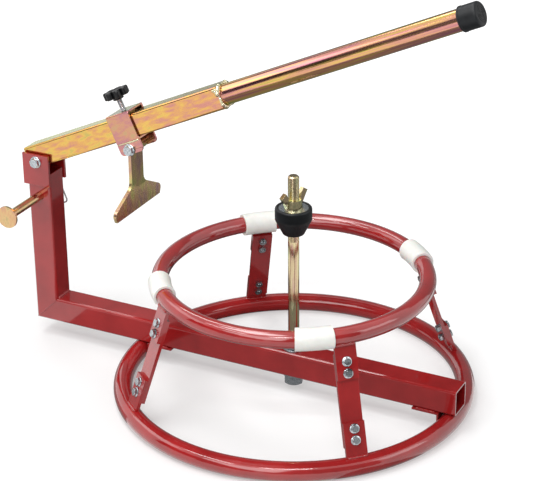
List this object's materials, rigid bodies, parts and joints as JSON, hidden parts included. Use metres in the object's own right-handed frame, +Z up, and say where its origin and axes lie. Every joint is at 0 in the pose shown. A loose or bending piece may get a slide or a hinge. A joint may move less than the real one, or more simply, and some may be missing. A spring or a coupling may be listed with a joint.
{
  "type": "tire changing stand",
  "caption": "Floor stand for changing motorcycle tires: tube rings on legs, a centre rod with hub cone and wing nut, and a post with a hand lever that pushes a bead breaker blade.",
  "frame": {"origin": "centre of the base ring on the floor", "axes": "+X from the post towards the ring's centre, along the lever; +Z up; +Y completes the right hand"},
  "size_m": [0.699, 0.519, 0.6158],
  "materials": {
    "red_paint": "gloss powder coat",
    "yellow_zinc": "yellow chromate zinc plating",
    "bright_zinc": "bright zinc plating",
    "black_plastic": "satin",
    "black_rubber": "satin",
    "white_hose": "milky, satin"
  },
  "bodies": {
    "frame": {"base_ring": "red_paint", "upper_ring": "red_paint", "rim_guard_1": "white_hose", "rim_guard_2": "white_hose", "rim_guard_3": "white_hose", "rim_guard_4": "white_hose", "base_tab_1": "red_paint", "base_tab_2": "red_paint", "base_tab_3": "red_paint", "base_tab_4": "red_paint", "upper_tab_1": "red_paint", "upper_tab_2": "red_paint", "upper_tab_3": "red_paint", "upper_tab_4": "red_paint", "leg_strap_1": "red_paint", "leg_strap_2": "red_paint", "leg_strap_3": "red_paint", "leg_strap_4": "red_paint", "leg_bolts": "bright_zinc", "leg_nuts": "bright_zinc", "cross_tube": "red_paint", "post": "red_paint", "front_seat_angle": "red_paint", "rear_seat_angle": "red_paint", "pivot_bracket": "red_paint", "pivot_bolt": "bright_zinc", "pivot_nut": "bright_zinc", "center_rod": "yellow_zinc", "rod_nuts": "bright_zinc", "rod_washers": "bright_zinc"},
    "lever": {"lever_tube": "yellow_zinc", "pivot_bush": "yellow_zinc", "handle_tube": "yellow_zinc", "end_cap": "black_rubber"},
    "carriage": {"carriage_sleeve": "yellow_zinc", "near_ear": "yellow_zinc", "far_ear": "yellow_zinc", "blade_bolt": "bright_zinc", "blade_nut": "bright_zinc"},
    "screw": {"clamp_screw": "bright_zinc"},
    "knob": {"clamp_knob": "black_plastic"},
    "breaker": {"blade": "yellow_zinc", "blade_barrel": "yellow_zinc"},
    "pin": {"lock_pin": "yellow_zinc", "pin_clip": "bright_zinc"},
    "cone": {"center_cone": "black_rubber", "cone_washer": "bright_zinc"},
    "nut": {"wing_nut": "yellow_zinc"}
  },
  "joints": [
    {"name": "lever_swing", "type": "hinge", "parent": "frame", "child": "lever", "pos_m": [-0.4075, 0, 0.2875], "axis": [0, -1, 0], "range_deg": [-14, 55]},
    {"name": "carriage_slide", "type": "slide", "parent": "lever", "child": "carriage", "axis": [0.9092, 0, 0.4163], "range_m": [-0.06, 0.1]},
    {"name": "knob_turn", "type": "hinge", "parent": "screw", "child": "knob", "pos_m": [-0.26769, 0, 0.3845], "axis": [-0.4163, 0, 0.9092], "range_deg": [0, 1152.5]},
    {"name": "screw_travel", "type": "slide", "parent": "carriage", "child": "screw", "axis": [-0.4163, 0, 0.9092], "range_m": [0, 0.004]},
    {"name": "blade_swing", "type": "hinge", "parent": "carriage", "child": "breaker", "pos_m": [-0.24794, 0, 0.33416], "axis": [0, -1, 0], "range_deg": [-45, 60]},
    {"name": "pin_slide", "type": "slide", "parent": "frame", "child": "pin", "axis": [0, 1, 0], "range_m": [-0.006, 0.08]},
    {"name": "nut_turn", "type": "hinge", "parent": "cone", "child": "nut", "pos_m": [0, 0, 0.286], "axis": [0, 0, 1], "range_deg": [-5400.5, 2520.5]},
    {"name": "cone_travel", "type": "slide", "parent": "frame", "child": "cone", "axis": [0, 0, 1], "range_m": [-0.03, 0.014]}
  ],
  "couplings": [
    {"joint": "knob_turn", "follows": "screw_travel", "rad_per_m": 5026.5},
    {"joint": "nut_turn", "follows": "cone_travel", "rad_per_m": 3141.6}
  ]
}
